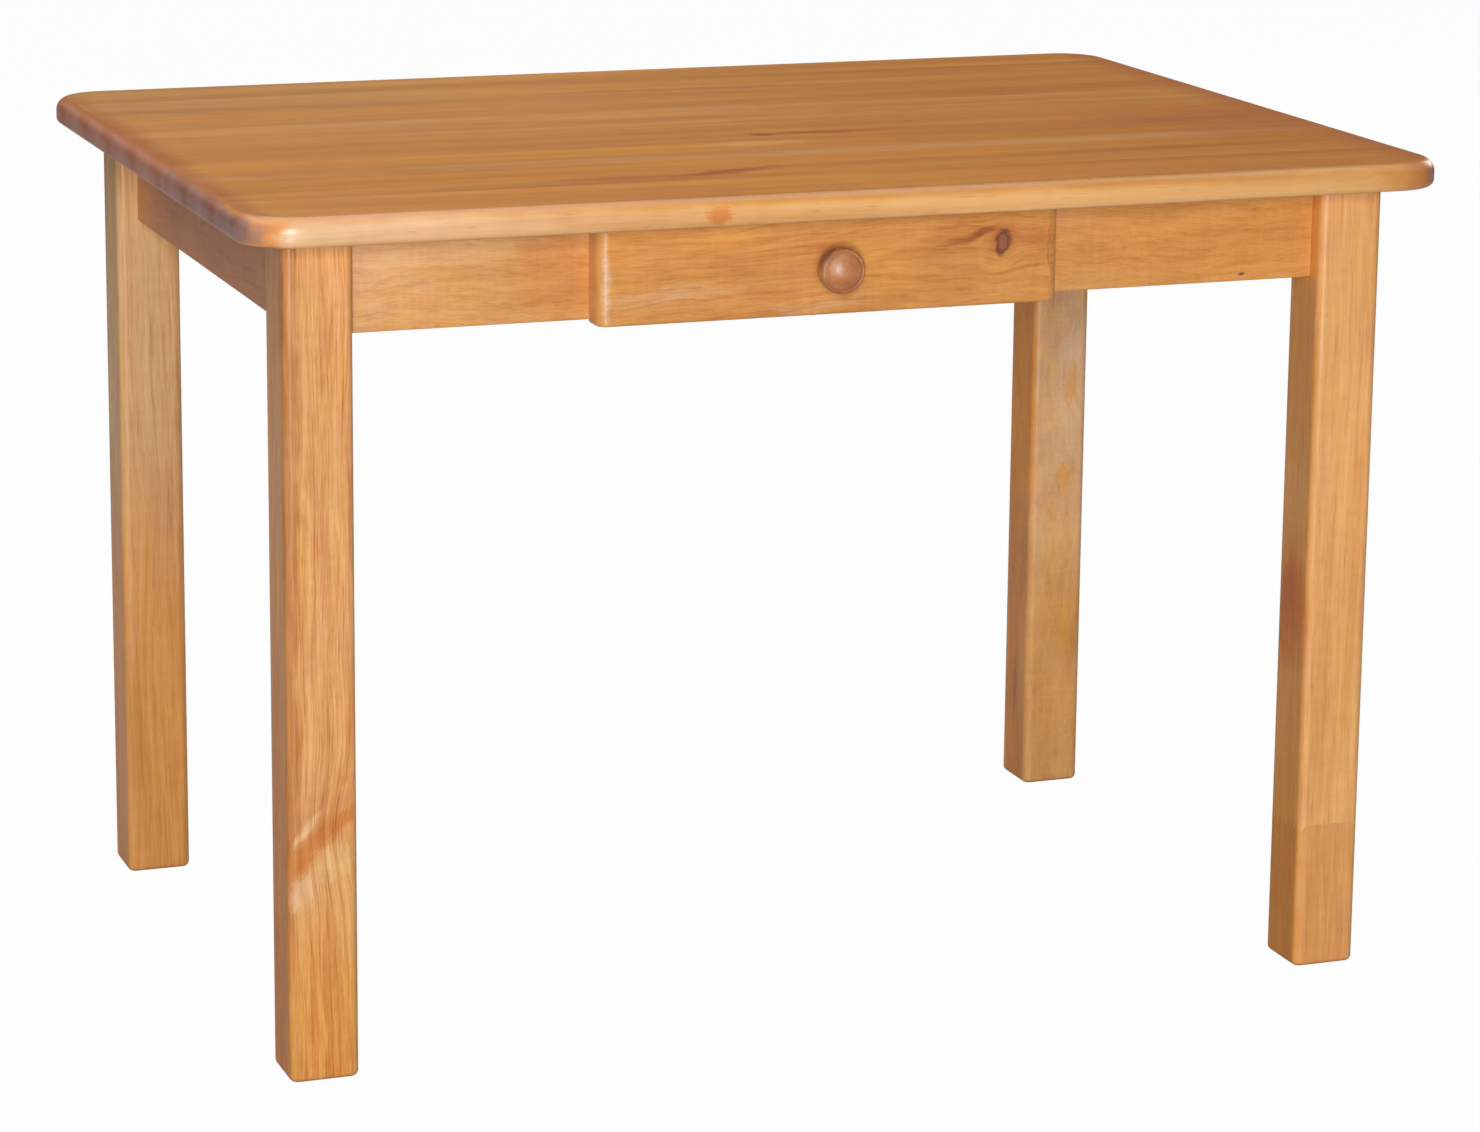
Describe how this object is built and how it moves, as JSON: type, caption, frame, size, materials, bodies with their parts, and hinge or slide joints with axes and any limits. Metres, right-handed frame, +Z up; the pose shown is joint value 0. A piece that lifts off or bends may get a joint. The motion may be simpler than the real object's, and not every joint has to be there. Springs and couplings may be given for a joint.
{
  "type": "dining table with drawer",
  "caption": "Rectangular wooden kitchen table with square legs, rounded edge-glued top and a shallow drawer with a turned knob in its long apron.",
  "frame": {"origin": "on the floor at the middle of the table's outline", "axes": "+Z up; the drawer opens towards -Y; +X runs along the length, to the right of a person facing the drawer"},
  "size_m": [1.1, 0.785, 0.757],
  "materials": {
    "tabletop": "honey-stained pine under satin lacquer",
    "legs": "honey-stained pine under satin lacquer",
    "aprons": "honey-stained pine under satin lacquer",
    "drawer_front": "honey-stained pine under satin lacquer",
    "knob": "turned and lacquered, redder than the boards",
    "drawer_box": "planed pine, unstained",
    "plywood": "plywood, unstained",
    "inner_frame": "planed softwood, unstained",
    "dowels": "beech dowel, unfinished",
    "zinc_steel": "zinc-plated steel"
  },
  "bodies": {
    "table": {"apron_back": "aprons", "apron_front": "aprons", "apron_left": "aprons", "apron_right": "aprons", "button_screws": "zinc_steel", "corner_plate_back_left": "zinc_steel", "corner_plate_back_right": "zinc_steel", "corner_plate_front_left": "zinc_steel", "corner_plate_front_right": "zinc_steel", "drawer_kicker_left": "inner_frame", "drawer_kicker_right": "inner_frame", "drawer_runner_left": "inner_frame", "drawer_runner_right": "inner_frame", "drawer_stop": "inner_frame", "hanger_bolts": "zinc_steel", "hex_nuts": "zinc_steel", "kicker_screws": "zinc_steel", "leg_back_left": "legs", "leg_back_right": "legs", "leg_front_left": "legs", "leg_front_right": "legs", "plate_screws": "zinc_steel", "plate_washers": "zinc_steel", "stop_screws": "zinc_steel", "top_buttons": "inner_frame", "top_stave_1": "tabletop", "top_stave_2": "tabletop", "top_stave_3": "tabletop", "top_stave_4": "tabletop", "top_stave_5": "tabletop", "top_stave_6": "tabletop", "top_stave_7": "tabletop", "top_stave_8": "tabletop"},
    "drawer": {"drawer_back": "drawer_box", "drawer_back_screws": "zinc_steel", "drawer_bottom": "plywood", "drawer_bottom_screws": "zinc_steel", "drawer_dowels": "dowels", "drawer_front": "drawer_front", "drawer_side_left": "drawer_box", "drawer_side_right": "drawer_box", "knob": "knob", "knob_screw": "zinc_steel"}
  },
  "joints": [
    {"name": "drawer_slide", "type": "slide", "parent": "table", "child": "drawer", "axis": [0, -1, 0], "range_m": [0, 0.3]}
  ]
}
